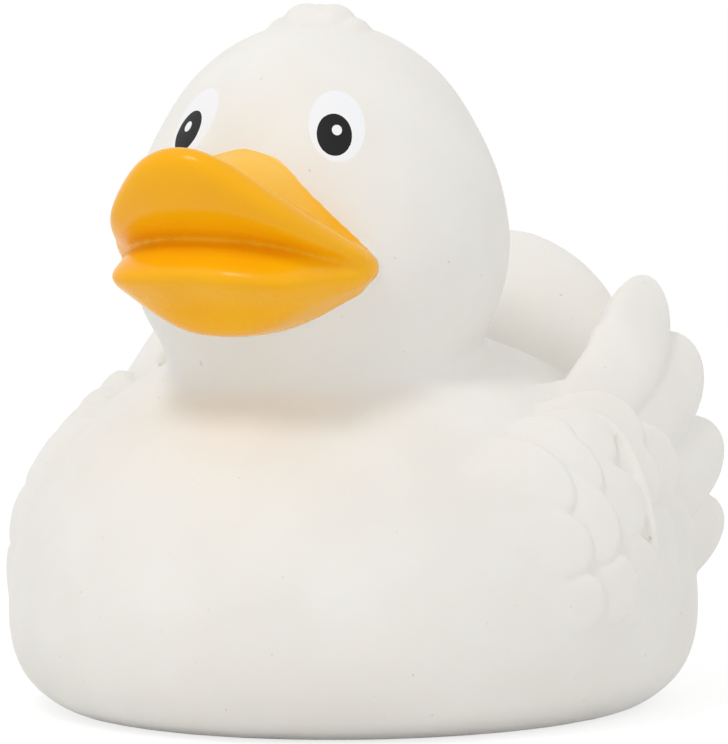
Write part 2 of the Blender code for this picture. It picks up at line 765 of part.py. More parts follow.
def centred(pieces):
    """Slide everything along Y so that the origin is under the middle of its length."""
    places = [v.co.y for piece in pieces for v in piece.data.vertices]
    middle = (min(places) + max(places)) / 2
    for piece in pieces:
        for v in piece.data.vertices:
            v.co.y -= middle


def main():
    for obj in list(bpy.data.objects):
        bpy.data.objects.remove(obj)
    duck = duck_skin()
    paint(duck)
    cap = squeaker_cap()
    reed = squeaker_reed()
    centred([duck, cap, reed])
    finished(duck)
    finished(cap, CAP_PLASTIC)
    finished(reed, REED_PLASTIC)
    bpy.data.collections.remove(collection(FORMS))


if __name__ == "__main__":
    main()
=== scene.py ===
"""A moulded bath duck on a white table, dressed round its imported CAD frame.

The skin is blocked out from the same forms as the CAD solid, at a finer grain, and takes
its feather relief, painted bill and printed eyes from there. Shape tables are in mm.
"""

import math

import bmesh
import bpy
from mathutils import Matrix, Vector, noise


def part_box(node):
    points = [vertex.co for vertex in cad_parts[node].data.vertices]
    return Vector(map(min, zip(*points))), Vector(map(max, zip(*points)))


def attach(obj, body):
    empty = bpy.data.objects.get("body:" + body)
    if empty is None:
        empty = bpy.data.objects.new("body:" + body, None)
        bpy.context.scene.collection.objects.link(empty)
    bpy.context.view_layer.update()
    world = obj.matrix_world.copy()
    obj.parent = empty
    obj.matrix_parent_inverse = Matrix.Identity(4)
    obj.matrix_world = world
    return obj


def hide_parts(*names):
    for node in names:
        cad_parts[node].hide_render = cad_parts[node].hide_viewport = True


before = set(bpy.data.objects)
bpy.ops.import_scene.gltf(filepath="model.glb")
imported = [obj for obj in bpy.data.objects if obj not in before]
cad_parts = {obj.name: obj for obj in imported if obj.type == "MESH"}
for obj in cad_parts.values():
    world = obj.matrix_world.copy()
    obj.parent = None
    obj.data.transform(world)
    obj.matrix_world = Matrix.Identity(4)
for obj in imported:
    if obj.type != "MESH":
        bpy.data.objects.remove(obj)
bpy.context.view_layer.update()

# Table: a plain white top that keeps the duck's soft shadow. It looks white to the camera
# and in reflections, and lights the duck's underside as any pale table does.
MM = 0.001
TABLE_SIZE = 6.0
TABLE_DROP = 0.05 * MM
TABLE_WHITE = (0.92, 0.92, 0.92, 1)
TABLE_SHADE = (0.3, 0.3, 0.3, 1)
TABLE_GLOW = 0.77


def shader_of(name):
    made = bpy.data.materials.new(name)
    made.use_nodes = True
    return made, made.node_tree.nodes, made.node_tree.links


def seen_directly(nodes, links):
    """1 for the camera and for what shows in gloss or glass, and 0 for light on its way."""
    path = nodes.new("ShaderNodeLightPath")
    seen = path.outputs["Is Camera Ray"]
    for ray in ("Is Glossy Ray", "Is Transmission Ray"):
        either = nodes.new("ShaderNodeMath")
        either.operation = "MAXIMUM"
        links.new(seen, either.inputs[0])
        links.new(path.outputs[ray], either.inputs[1])
        seen = either.outputs[0]
    return seen


def table_material():
    made, nodes, links = shader_of("table_white")
    nodes.remove(nodes["Principled BSDF"])
    output = nodes["Material Output"]
    matte = nodes.new("ShaderNodeBsdfDiffuse")
    matte.inputs["Color"].default_value = TABLE_WHITE
    shade = nodes.new("ShaderNodeBsdfDiffuse")
    shade.inputs["Color"].default_value = TABLE_SHADE
    glow = nodes.new("ShaderNodeEmission")
    glow.inputs["Strength"].default_value = TABLE_GLOW
    white = nodes.new("ShaderNodeAddShader")
    links.new(shade.outputs[0], white.inputs[0])
    links.new(glow.outputs[0], white.inputs[1])
    either = nodes.new("ShaderNodeMixShader")
    links.new(seen_directly(nodes, links), either.inputs[0])
    links.new(matte.outputs[0], either.inputs[1])
    links.new(white.outputs[0], either.inputs[2])
    links.new(either.outputs[0], output.inputs["Surface"])
    return made


bpy.ops.mesh.primitive_plane_add(size=TABLE_SIZE, location=(0, 0, -TABLE_DROP))
table = bpy.context.object
table.name = "table_top"
table.data.materials.append(table_material())


# Room and lamps: a white room gives most of the light. A small softbox high on the
# camera's left models the form and puts the highlights on the bill, and a wide weak one on
# the right keeps the shadows open. Both aim at the middle of the body, over the squeaker.
ROOM_LIGHT = 0.77
AIM_HEIGHT = 35 * MM
# Each lamp: name, azimuth and elevation in degrees, distance and size in m, power in W.
LAMPS = (
    ("softbox_left", -8.0, 52.0, 0.70, 0.14, 1.05),
    ("softbox_right", 80.0, 35.0, 0.80, 0.50, 0.2),
)


def bearing(turn, tilt):
    """The direction from the duck to a place at this azimuth and elevation."""
    level = math.cos(tilt)
    return Vector((math.sin(turn) * level, -math.cos(turn) * level, math.sin(tilt)))


world = bpy.data.worlds.new("white_room")
bpy.context.scene.world = world
world.use_nodes = True
room = world.node_tree
glow = room.nodes["Background"]
level = room.nodes.new("ShaderNodeMapRange")
level.inputs["To Min"].default_value = ROOM_LIGHT
level.inputs["To Max"].default_value = 1.0
room.links.new(seen_directly(room.nodes, room.links), level.inputs["Value"])
room.links.new(level.outputs[0], glow.inputs["Strength"])
glow.inputs["Color"].default_value = (1, 1, 1, 1)

cap_low, cap_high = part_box("squeaker_cap")
BODY_Y = (cap_low[1] + cap_high[1]) / 2
aim = Vector((0, BODY_Y, AIM_HEIGHT))
for name, turn, tilt, away, size, power in LAMPS:
    lamp = bpy.data.lights.new(name, "AREA")
    lamp.size = size
    lamp.energy = power
    stand = bpy.data.objects.new(name, lamp)
    towards = bearing(math.radians(turn), math.radians(tilt))
    stand.location = aim + towards * away
    stand.rotation_euler = towards.to_track_quat("Z", "Y").to_euler()
    bpy.context.scene.collection.objects.link(stand)


# Camera: a long lens at the photograph's bearing, low over the table. The picture's scale
# and centre are set where the head's upright axis meets the table, ahead of the body's centre.
HEAD_Y = BODY_Y - 9.2 * MM
CAMERA_TURN = math.radians(25.5)
CAMERA_TILT = math.radians(5.0)
CAMERA_AWAY = 0.8
PICTURE = (728, 744)
METRES_PER_PIXEL = 0.0001128
HEAD_FOOT_PIXEL = (320, 709)
SENSOR = 36.0

towards = bearing(CAMERA_TURN, CAMERA_TILT)
rightward = Vector((math.cos(CAMERA_TURN), math.sin(CAMERA_TURN), 0))
upward = towards.cross(rightward)
centre = Vector((0, HEAD_Y, 0))
centre += rightward * ((PICTURE[0] / 2 - HEAD_FOOT_PIXEL[0]) * METRES_PER_PIXEL)
centre += upward * ((HEAD_FOOT_PIXEL[1] - PICTURE[1] / 2) * METRES_PER_PIXEL)
optics = bpy.data.cameras.new("studio_camera")
optics.sensor_width = SENSOR
optics.lens = SENSOR * CAMERA_AWAY / (PICTURE[1] * METRES_PER_PIXEL)
camera = bpy.data.objects.new("studio_camera", optics)
camera.location = centre + towards * CAMERA_AWAY
camera.rotation_euler = towards.to_track_quat("Z", "Y").to_euler()
bpy.context.scene.collection.objects.link(camera)
bpy.context.scene.camera = camera
bpy.context.scene.view_settings.view_transform = "Standard"


# Trunk: body, head with its neck, and tail, moulded in one piece of soft vinyl. They are
# rounded lumps of the mould's master, eased until the neck and the tail flow into the body.
BODY_HALF_WIDTH = 38.6
BODY_FRONT = 42.3
BODY_BACK = 41.6
BODY_TOP = 43.3
GIRTH_HEIGHT = 10.5
BODY_TOP_FULLNESS = 2.08
BODY_FOOT_DEPTH = 21.5
BODY_FOOT_FULLNESS = 2.1
BROW_FULLNESS = 1.03
NECK_ROOT = (20.0, 30.0)
HEAD_OUTLINE = (
    (16.2, 37.0),
    (17.2, 40.4),
    (19.3, 44.0),
    (20.7, 47.6),
    (21.4, 51.9),
    (21.3, 54.7),
    (20.2, 60.1),
    (17.8, 65.6),
    (14.4, 70.9),
    (10.2, 74.6),
    (5.4, 76.9),
    (0.0, 77.7),
)
TAIL_HALF_SIZE = (20.0, 8.0, 19.0)
TAIL_TIP = (0.0, 40.5, 51.5)
TAIL_LEAN = math.radians(24)
TAIL_FULLNESS = 1.85
TRUNK_VOXEL = 1.0 * MM
TRUNK_PASSES = 14
FOOT_ROUND = 4.5
FOOT_TUCK = 0.055


def form(name, bm):
    """A mesh object from shape-making in mm about the body's centre."""
    bmesh.ops.scale(bm, vec=(MM, MM, MM), verts=bm.verts)
    bmesh.ops.translate(bm, vec=(0, BODY_Y, 0), verts=bm.verts)
    bmesh.ops.recalc_face_normals(bm, faces=bm.faces)
    mesh = bpy.data.meshes.new(name)
    bm.to_mesh(mesh)
    bm.free()
    made = bpy.data.objects.new(name, mesh)
    bpy.context.scene.collection.objects.link(made)
    return made


def baked(obj):
    """Replace an object by what its modifiers make."""
    bpy.context.view_layer.update()
    graph = bpy.context.evaluated_depsgraph_get()
    mesh = bpy.data.meshes.new_from_object(obj.evaluated_get(graph))
    name = obj.name
    bpy.data.objects.remove(obj)
    made = bpy.data.objects.new(name, mesh)
    bpy.context.scene.collection.objects.link(made)
    return made


def fused(name, forms, voxel, passes):
    """One closed skin round all the forms, its creases eased by passes of smoothing."""
    mesh = bpy.data.meshes.new(name)
    bm = bmesh.new()
    for piece in forms:
        bm.from_mesh(piece.data)
        bpy.data.objects.remove(piece)
    bm.to_mesh(mesh)
    bm.free()
    made = bpy.data.objects.new(name, mesh)
    bpy.context.scene.collection.objects.link(made)
    weld = made.modifiers.new("weld", "REMESH")
    weld.mode = "VOXEL"
    weld.voxel_size = voxel
    ease = made.modifiers.new("ease", "SMOOTH")
    ease.factor = 0.5
    ease.iterations = passes
    return baked(made)


def smooth_line(points, steps):
    """Points along a Catmull-Rom curve that passes through the given ones."""
    ends = [2 * points[0] - points[1], *points, 2 * points[-1] - points[-2]]
    line = []
    for a, b, c, d in zip(ends, ends[1:], ends[2:], ends[3:]):
        for k in range(steps):
            t = k / steps
            cubic = (3 * b - a - 3 * c + d) * t**3
            square = (2 * a - 5 * b + 4 * c - d) * t**2
            line.append(0.5 * (2 * b + (c - a) * t + square + cubic))
    line.append(points[-1])
    return line


def fuller(spread, fullness):
    """How far a unit ball's point moves to take on another fullness."""
    return spread ** (2 / fullness) / spread if spread > 1e-6 else 0


def ball(segments, rings):
    bm = bmesh.new()
    bmesh.ops.create_uvsphere(bm, u_segments=segments, v_segments=rings, radius=1)
    return bm


def body_form(inset=0.0):
    bm = ball(128, 96)
    for v in bm.verts:
        x, y, z = v.co
        fullness = BODY_TOP_FULLNESS if z > 0 else BODY_FOOT_FULLNESS
        depth = (BODY_TOP - GIRTH_HEIGHT if z > 0 else BODY_FOOT_DEPTH) - inset
        widen = fuller(math.hypot(x, y), fullness)
        length = (BODY_FRONT if y < 0 else BODY_BACK) - inset
        height = max(GIRTH_HEIGHT + z * fuller(abs(z), fullness) * depth, inset)
        widen *= 1 - FOOT_TUCK * max(0.0, 1 - height / FOOT_ROUND) ** 2
        v.co = (x * widen * (BODY_HALF_WIDTH - inset), y * widen * length, height)
    return form("body_form", bm)


def head_form(inset=0.0):
    """The head and neck, moved in by inset, with the brow a little fuller than the nape."""
    line = smooth_line([Vector(p) for p in HEAD_OUTLINE], 8)
    neck, crown = HEAD_OUTLINE[0][1], HEAD_OUTLINE[-1][1]
    narrow = 1 - inset / max(r for r, z in HEAD_OUTLINE)
    lower = 1 - inset / (crown - neck)
    profile = [(0.0, NECK_ROOT[1]), (NECK_ROOT[0] * narrow, NECK_ROOT[1])]
    profile += [(max(0.0, p.x) * narrow, neck + (p.y - neck) * lower) for p in line]
    chin, cheek = HEAD_OUTLINE[2][1], HEAD_OUTLINE[4][1]
    bm = bmesh.new()
    turned = [bm.verts.new((r, 0, z)) for r, z in profile]
    edges = [bm.edges.new(pair) for pair in zip(turned, turned[1:])]
    bmesh.ops.spin(
        bm, geom=turned + edges, cent=(0, 0, 0), axis=(0, 0, 1), angle=math.tau, steps=128
    )
    bmesh.ops.remove_doubles(bm, verts=bm.verts, dist=1e-4)
    for v in bm.verts:
        swell = min(1.0, max(0.0, (v.co.z - chin) / (cheek - chin)))
        if v.co.y < 0:
            v.co.y *= 1 + (BROW_FULLNESS - 1) * swell
    bmesh.ops.translate(bm, vec=(0, (HEAD_Y - BODY_Y) / MM, 0), verts=bm.verts)
    return form("head_form", bm)


def tail_form():
    bm = ball(64, 48)
    wide, thick, long = TAIL_HALF_SIZE
    for v in bm.verts:
        x, y, z = v.co
        widen = fuller(math.hypot(x, y), TAIL_FULLNESS)
        rise = z * fuller(abs(z), TAIL_FULLNESS) - 1
        v.co = (x * widen * wide, y * widen * thick, rise * long)
    bmesh.ops.rotate(bm, matrix=Matrix.Rotation(-TAIL_LEAN, 3, "X"), verts=bm.verts)
    bmesh.ops.translate(bm, vec=TAIL_TIP, verts=bm.verts)
    return form("tail_form", bm)


trunk = fused("trunk", [body_form(), head_form(), tail_form()], TRUNK_VOXEL, TRUNK_PASSES)
round_off = trunk.modifiers.new("round_off", "SUBSURF")
round_off.levels = round_off.render_levels = 1
trunk = baked(trunk)


# Wings: moulded in one with the body. Each is a raised pad on the body's side, with rows of
# scallops carved over it and long primaries behind that stand clear of the back. A bead
# runs down between the scallops. Places are (y, z), seen from the side.
WING_STAND = 2.0
WING_RISE = (-30.0, -11.0)
WING_LEAN = 1.0
WING_REAR_REACH = 36.6
WING_REAR_CREST = 22.0
WING_REAR_CURL = 0.0135
WING_BLEND = (-16.0, 12.0)
# Each tier: height at root and tip, tilt, depth inside, drop at the edge, softness of the dome.
TIERS = {
    "pad": (0.1, -0.9, 0.0, 12.0, 3.6, 1.9),
    "primary": (-2.3, 0.0, 0.8, 6.6, 1.5, 0.65),
}
# Each feather: tier, root, tip and half width.
FEATHERS = (
    ("pad", (-32, 20), (17, 26.5), 14.6),
    ("primary", (-12, 29.6), (24, 48), 4.2),
    ("primary", (-10, 28), (25.2, 40.4), 5.6),
    ("primary", (-10, 21), (24.8, 30), 5.7),
    ("primary", (-12, 14), (23.9, 20.6), 5.6),
)
FEATHER_ROWS = 40
FEATHER_COLUMNS = 22
FEATHER_HEEL = 0.14
FEATHER_BLUNT = 0.6
FEATHER_ROOT_WIDTH = 0.78
# Each scallop: its centre's y and z, and its radius, from the hindmost row to the front.
SCALLOPS = (
    (3.6, 27.9, 5.0),
    (6.4, 19.8, 5.0),
    (1.4, 14.4, 3.4),
    (-1.9, 33.0, 4.6),
    (-0.4, 27.3, 3.6),
    (1.9, 19.6, 4.2),
    (-7.1, 32.2, 3.6),
    (-7.2, 25.0, 4.3),
    (-6.6, 16.4, 4.9),
    (-12.3, 16.0, 4.0),
    (-10.6, 33.4, 2.1),
    (-13.1, 29.8, 4.7),
    (-14.7, 23.7, 5.1),
    (-17.4, 14.7, 3.6),
    (-18.8, 29.0, 5.2),
    (-18.5, 21.2, 3.8),
)
SCALLOP_TOP = 0.5
SCALLOP_SLOPE = 0.11
SCALLOP_EDGE = 0.45
SCALLOP_ROUND = 0.9
SCALLOP_GROOVE = 0.4
RELIEF_LENGTH = (-26.0, 16.0)
RELIEF_FOOT = 8.0
RELIEF_SHARE = 0.9
RELIEF_STEP = 0.3
RELIEF_BED = 4.0
RELIEF_LEAST = 0.5
# The coverts sink into the shoulder above a height, which leans forward, over a length.
RELIEF_FADE = (33.5, 0.28, 4.2)
BEAD_LINE = (
    (-5.4, 35.8),
    (-3.6, 34.2),
    (-2.8, 32.7),
    (-2.3, 30.6),
    (-2.2, 26.6),
    (-2.3, 21.5),
    (-1.5, 16.8),
    (-1.7, 13.0),
)
BEAD_RADIUS = 0.75
BEAD_HEIGHT = 0.1
BEAD_SINK = 1.4
BEAD_SIDES = 14


def eased(value, start, end):
    """A smooth step from 0 at start to 1 at end."""
    t = min(1.0, max(0.0, (value - start) / (end - start)))
    return t * t * (3 - 2 * t)


def wing_reach(y, z):
    """How far out the wing's face is at (y, z) seen from the side: never inside the body."""
    stand = WING_STAND * eased(y + WING_LEAN * (z - WING_REAR_CREST), *WING_RISE)
    rise = (z - GIRTH_HEIGHT) / (BODY_TOP - GIRTH_HEIGHT + stand)
    girth = max(0.1, 1 - max(0.0, rise) ** 2) ** 0.5
    length = ((BODY_FRONT if y < 0 else BODY_BACK) + stand) * girth
    hug = (BODY_HALF_WIDTH + stand) * girth * max(0.05, 1 - (y / length) ** 2) ** 0.5
    rear = WING_REAR_REACH - WING_REAR_CURL * (z - WING_REAR_CREST) ** 2
    wing = hug + (rear - hug) * eased(y, *WING_BLEND)
    waist = max(0.05, 1 - (max(0.0, z - GIRTH_HEIGHT) / (BODY_TOP - GIRTH_HEIGHT)) ** 2) ** 0.5
    across = y / (waist * (BODY_FRONT if y < 0 else BODY_BACK))
    body = BODY_HALF_WIDTH * waist * max(0.02, 1 - across**2) ** 0.5
    return max(wing, body)


def wing_point(y, z, height):
    """A point of the wing's face, seen from the side at (y, z), raised by height."""
    step = 0.5
    slope_y = (wing_reach(y + step, z) - wing_reach(y - step, z)) / (2 * step)
    slope_z = (wing_reach(y, z + step) - wing_reach(y, z - step)) / (2 * step)
    out = Vector((1, -slope_y, -slope_z)).normalized()
    return Vector((wing_reach(y, z), y, z)) + out * height


def feather_form(tier, root, tip, half_width):
    """A leaf laid on the wing's face: blunt at its tip, domed outside, deep inside."""
    low, high, tilt, depth, drop, soft = TIERS[tier]
    root, tip = Vector(root), Vector(tip)
    along = tip - root
    across = Vector((along.y, -along.x)).normalized()
    bm = bmesh.new()
    for side in (1, -1):
        grid = []
        for i in range(FEATHER_ROWS + 1):
            s = 0.5 - 0.5 * math.cos(math.pi * i / FEATHER_ROWS)
            past = max(0.0, s - FEATHER_BLUNT) / (1 - FEATHER_BLUNT)
            heel = 1 - min(1.0, s / FEATHER_HEEL)
            end = (max(0.0, 1 - past**2) * (1 - heel**2)) ** 0.5
            widen = FEATHER_ROOT_WIDTH + (1 - FEATHER_ROOT_WIDTH) * min(1, s / FEATHER_BLUNT)
            width = half_width * end * widen
            line = []
            for j in range(FEATHER_COLUMNS + 1):
                t = -math.cos(math.pi * j / FEATHER_COLUMNS)
                edge = (max(0.0, 1 - t * t) ** 0.5) * end
                place = root + along * s + across * (t * width)
                height = low + (high - low) * s + tilt * t * end
                if side > 0:
                    height -= drop * (1 - edge**soft)
                else:
                    height -= drop + (depth - drop) * edge
                line.append(bm.verts.new(wing_point(place.x, place.y, height)))
            grid.append(line)
        for a, b in zip(grid, grid[1:]):
            for k in range(FEATHER_COLUMNS):
                bm.faces.new((a[k], b[k], b[k + 1], a[k + 1])[::side])
    bmesh.ops.remove_doubles(bm, verts=bm.verts, dist=1e-3)
    return form(tier + "_form", bm)


def relief(y, z):
    """The coverts' height over the wing's face, each row lying on those behind it."""
    height = -RELIEF_BED
    carved = 0.0
    for centre_y, centre_z, radius in SCALLOPS:
        ahead, aside = centre_y - y, abs(z - centre_z)
        inside = radius - (aside if ahead > 0 else math.hypot(ahead, aside))
        if inside > 0:
            turned = max(0.0, 1 - inside / SCALLOP_ROUND)
            crown = SCALLOP_TOP - SCALLOP_SLOPE * (ahead + radius)
            crown -= SCALLOP_EDGE * (1 - (1 - turned**2) ** 0.5)
            if crown > height - carved:
                height, carved = crown, 0.0
        elif ahead < 0:
            carved = max(carved, SCALLOP_GROOVE * max(0.0, 1 + inside / SCALLOP_ROUND) ** 2)
    start, lean, length = RELIEF_FADE
    fall = max(0.0, (z - start - lean * min(0.0, y)) / length)
    return height - carved - fall**2


def sheet_rim(sheet):
    """The points round the edge of a sheet of lines, in one turn."""
    far_side = [line[-1] for line in sheet[1:]]
    near_side = [line[0] for line in sheet[-2:0:-1]]
    return [*sheet[0], *far_side, *sheet[-1][-2::-1], *near_side]


def coverts_form():
    """All the scallops of a wing as one relief over its face, closed inside the body."""
    front, back = RELIEF_LENGTH
    columns = round((back - front) / RELIEF_STEP)
    rows = round((BODY_TOP - RELIEF_FOOT) / RELIEF_STEP)
    bm = bmesh.new()
    sheets = []
    for outer in (True, False):
        sheet = []
        for i in range(columns + 1):
            y = front + RELIEF_STEP * i
            across = y / (BODY_FRONT if y < 0 else BODY_BACK)
            top = GIRTH_HEIGHT + RELIEF_SHARE * (BODY_TOP - GIRTH_HEIGHT) * (1 - across**2) ** 0.5
            line = []
            for k in range(rows + 1):
                z = RELIEF_FOOT + (top - RELIEF_FOOT) * k / rows
                height = max(relief(y, z), RELIEF_LEAST - RELIEF_BED) if outer else -RELIEF_BED
                line.append(bm.verts.new(wing_point(y, z, height)))
            sheet.append(line)
        sheets.append(sheet)
    for sheet in sheets:
        for a, b in zip(sheet, sheet[1:]):
            for k in range(rows):
                bm.faces.new((a[k], b[k], b[k + 1], a[k + 1]))
    rims = [sheet_rim(sheet) for sheet in sheets]
    for k, (a, b) in enumerate(zip(*rims)):
        n = (k + 1) % len(rims[0])
        bm.faces.new((a, b, rims[1][n], rims[0][n]))
    return form("coverts_form", bm)


def bead_form():
    """The raised line that edges the front coverts, sunk into them at both ends."""
    line = smooth_line([Vector(p) for p in BEAD_LINE], 8)
    spine = []
    for i, p in enumerate(line):
        swell = math.sin(math.pi * (i + 0.5) / len(line))
        spine.append(wing_point(p.x, p.y, BEAD_HEIGHT - BEAD_SINK * (1 - swell) ** 2))
    bm = bmesh.new()
    rings = []
    for i, point in enumerate(spine):
        ahead = spine[min(i + 1, len(spine) - 1)] - spine[max(i - 1, 0)]
        out = ahead.cross(Vector((1, 0, 0))).normalized()
        up = out.cross(ahead).normalized()
        radius = BEAD_RADIUS * math.sin(math.pi * (i + 0.5) / len(spine)) ** 0.5
        ring = []
        for k in range(BEAD_SIDES):
            turn = math.tau * k / BEAD_SIDES
            around = out * math.cos(turn) + up * math.sin(turn)
            ring.append(bm.verts.new(point + around * radius))
        rings.append(ring)
    for a, b in zip(rings, rings[1:]):
        for k in range(BEAD_SIDES):
            n = (k + 1) % BEAD_SIDES
            bm.faces.new((a[k], a[n], b[n], b[k]))
    bm.faces.new(rings[0])
    bm.faces.new(rings[-1])
    return form("bead_form", bm)


wing = [feather_form(*feather) for feather in FEATHERS]
wing += [coverts_form(), bead_form()]


# Bill: two lips with a cupped upper rim, moulded in one with the head. It is lofted
# through lines that run across it, from its middle to the corner of the mouth. Their
# points are (x, y, z), with y from the head's axis.
BILL_LINES = {
    "buried_root": (
        (0, -11, 64.7), (5, -10.5, 63.2), (9, -10, 60.4), (11.5, -9.5, 57.4), (12.5, -9, 55)
    ),
    "root": (
        (0, -18.4, 64.1), (4, -17.9, 63.1), (8, -16.8, 59.5), (11.2, -15.3, 56.3), (13.5, -14.6, 53.8)
    ),
    "valley": (
        (0, -25.1, 61.4), (4.5, -24.4, 60.5), (8.9, -22.1, 57.8), (12, -19.3, 55.2), (14.1, -16.0, 53.2)
    ),
    "rise": (
        (0, -31.5, 63.9), (4.8, -30.8, 62.7), (9.2, -27.6, 59.3), (12.5, -22.9, 56.0), (14.5, -16.8, 53.0)
    ),
    "crest": (
        (0, -34.8, 65.2), (4.8, -34, 63.8), (9.6, -30.1, 59.7), (12.8, -24.3, 55.9), (14.8, -17.1, 52.7)
    ),
    "lip": (
        (0, -36.2, 63.2), (5.1, -35.2, 61.8), (10.2, -30.9, 57.9), (13.1, -24.8, 54.9), (15.1, -17.3, 52.3)
    ),
    "palate": (
        (0, -33.9, 59.1), (5.1, -33.1, 58.3), (10, -29.8, 56.0), (13, -24.4, 54.0), (15.2, -17.3, 51.9)
    ),
    "gape": (
        (0, -30.6, 56.3), (4.9, -30.1, 56.0), (9.4, -27.8, 54.8), (12.6, -23.6, 53.3), (15.2, -17.3, 51.7)
    ),
    "mouth": (
        (0, -28.4, 54.9), (4.8, -28.0, 54.7), (9.1, -26.2, 53.9), (12.3, -22.9, 52.7), (15.2, -17.3, 51.5)
    ),
    "tongue": (
        (0, -30.0, 53.8), (4.8, -29.7, 53.6), (9.5, -28.0, 52.8), (12.6, -23.7, 52.0), (15.2, -17.2, 51.2)
    ),
    "lower_lip": (
        (0, -32.6, 51.1), (5.2, -32.3, 50.8), (10.3, -30.1, 50.4), (13, -24.6, 50.5), (15.1, -17.2, 50.8)
    ),
    "jaw": (
        (0, -29.5, 48.0), (5, -29.1, 47.9), (9.8, -26.9, 48.1), (12.4, -22.6, 48.8), (14.6, -16.9, 50.2)
    ),
    "chin": (
        (0, -25.8, 44.2), (4.4, -25.1, 44.6), (8.4, -22.8, 46.0), (11.5, -19.2, 47.7), (13.7, -15.9, 49.5)
    ),
    "buried_chin": (
        (0, -15, 43.8), (4, -14.5, 44.1), (8, -13, 45.2), (11, -11.5, 46.6), (12.3, -10, 47.8)
    ),
}
BILL_ACROSS = 10
BILL_ALONG = 10
BILL_CORE = (11.0, -9.0, 53.0)
BILL_HUB = (0.0, -6.0, 54.0)


def bill_form():
    core = Vector(BILL_CORE)
    lines = []
    for line in BILL_LINES.values():
        half = [Vector(p) for p in line] + [core]
        whole = [Vector((-p.x, p.y, p.z)) for p in reversed(half[1:])] + half
        lines.append(smooth_line(whole, BILL_ACROSS))
    columns = [smooth_line([line[k] for line in lines], BILL_ALONG) for k in range(len(lines[0]))]
    bm = bmesh.new()
    grid = [[bm.verts.new(p) for p in column] for column in columns]
    for a, b in zip(grid, grid[1:]):
        for k in range(len(a) - 1):
            bm.faces.new((a[k], b[k], b[k + 1], a[k + 1]))
    hub = bm.verts.new(BILL_HUB)
    ends = [[column[row] for column in grid] for row in (0, -1)]
    for edge in (*ends, grid[0], grid[-1]):
        for a, b in zip(edge, edge[1:]):
            bm.faces.new((a, b, hub))
    bmesh.ops.remove_doubles(bm, verts=bm.verts, dist=1e-3)
    bmesh.ops.translate(bm, vec=(0, (HEAD_Y - BODY_Y) / MM, 0), verts=bm.verts)
    return form("bill_form", bm)


bill = bill_form()


# Tuft: short soft curls fanned out on the crown, moulded in one with the head. Each
# curl has a lean in degrees, a length and a half width.
CURLS = (
    (-38, 9.5, 3.1),
    (-9, 7.8, 3.5),
    (18, 8.0, 3.0),
    (44, 7.9, 2.4),
)
TUFT_HEIGHT = 71.8
TUFT_HALF_DEPTH = 3.6
TUFT_FULLNESS = 2.2


def curl_form(lean, length, half_width):
    bm = ball(40, 28)
    for v in bm.verts:
        x, y, z = v.co
        widen = fuller(math.hypot(x, y), TUFT_FULLNESS)
        rise = 1 + z * fuller(abs(z), TUFT_FULLNESS)
        v.co = (x * widen * half_width, y * widen * TUFT_HALF_DEPTH, rise * length / 2)
    bmesh.ops.rotate(bm, matrix=Matrix.Rotation(math.radians(lean), 3, "Y"), verts=bm.verts)
    bmesh.ops.translate(bm, vec=(0, (HEAD_Y - BODY_Y) / MM, TUFT_HEIGHT), verts=bm.verts)
    return form("curl_form", bm)


tuft = [curl_form(*curl) for curl in CURLS]


# Skin: the vinyl is cast in one shell round all of these forms. It is mirrored about its
# middle plane, stands flat, and is hollow, with a stepped hole for the squeaker below.
SKIN_VOXEL = 0.32 * MM
SKIN_PASSES = 4
SKIN_FACES = 125000
HOLLOW_VOXEL = 1.2 * MM
HOLLOW_PASSES = 8
HOLLOW_FACES = 8000
WALL = 1.8
HOLE_RADIUS = 6.0
RECESS_RADIUS = 8.2
RECESS_DEPTH = 1.6
SEAT_STEPS = 96
MIDDLE_SNAP = 2e-5


def thinned(obj, faces):
    triangles = sum(len(p.vertices) - 2 for p in obj.data.polygons)
    thin = obj.modifiers.new("thin", "DECIMATE")
    thin.ratio = min(1.0, faces / triangles)
    return baked(obj)


def mirrored_half(obj):
    """Keep the +X half, square to the middle plane, and mirror it."""
    bm = bmesh.new()
    bm.from_mesh(obj.data)
    whole = [*bm.verts, *bm.edges, *bm.faces]
    bmesh.ops.bisect_plane(
        bm, geom=whole, dist=1e-5, plane_co=(0, 0, 0), plane_no=(-1, 0, 0), clear_outer=True
    )
    for v in bm.verts:
        if abs(v.co.x) < MIDDLE_SNAP:
            v.co.x = 0
    bmesh.ops.dissolve_degenerate(bm, dist=MIDDLE_SNAP, edges=bm.edges)
    bmesh.ops.triangulate(bm, faces=bm.faces)
    bm.to_mesh(obj.data)
    bm.free()
    mirror = obj.modifiers.new("mirror", "MIRROR")
    mirror.merge_threshold = 1e-6
    return baked(obj)


def turned_cutter(name, profile):
    bm = bmesh.new()
    verts = [bm.verts.new((r, 0, z)) for r, z in profile]
    edges = [bm.edges.new(pair) for pair in zip(verts, verts[1:])]
    bmesh.ops.spin(
        bm, geom=verts + edges, cent=(0, 0, 0), axis=(0, 0, 1), angle=math.tau, steps=SEAT_STEPS
    )
    bmesh.ops.remove_doubles(bm, verts=bm.verts, dist=1e-4)
    return form(name, bm)


def cut_from(obj, cutter):
    difference = obj.modifiers.new("cut", "BOOLEAN")
    difference.operation = "DIFFERENCE"
    difference.solver = "EXACT"
    difference.object = cutter
    made = baked(obj)
    bpy.data.objects.remove(cutter)
    return made


def ground_cutter():
    bm = bmesh.new()
    bmesh.ops.create_cube(bm, size=4 * BODY_FRONT)
    bmesh.ops.translate(bm, vec=(0, 0, -2 * BODY_FRONT), verts=bm.verts)
    return form("ground_cutter", bm)


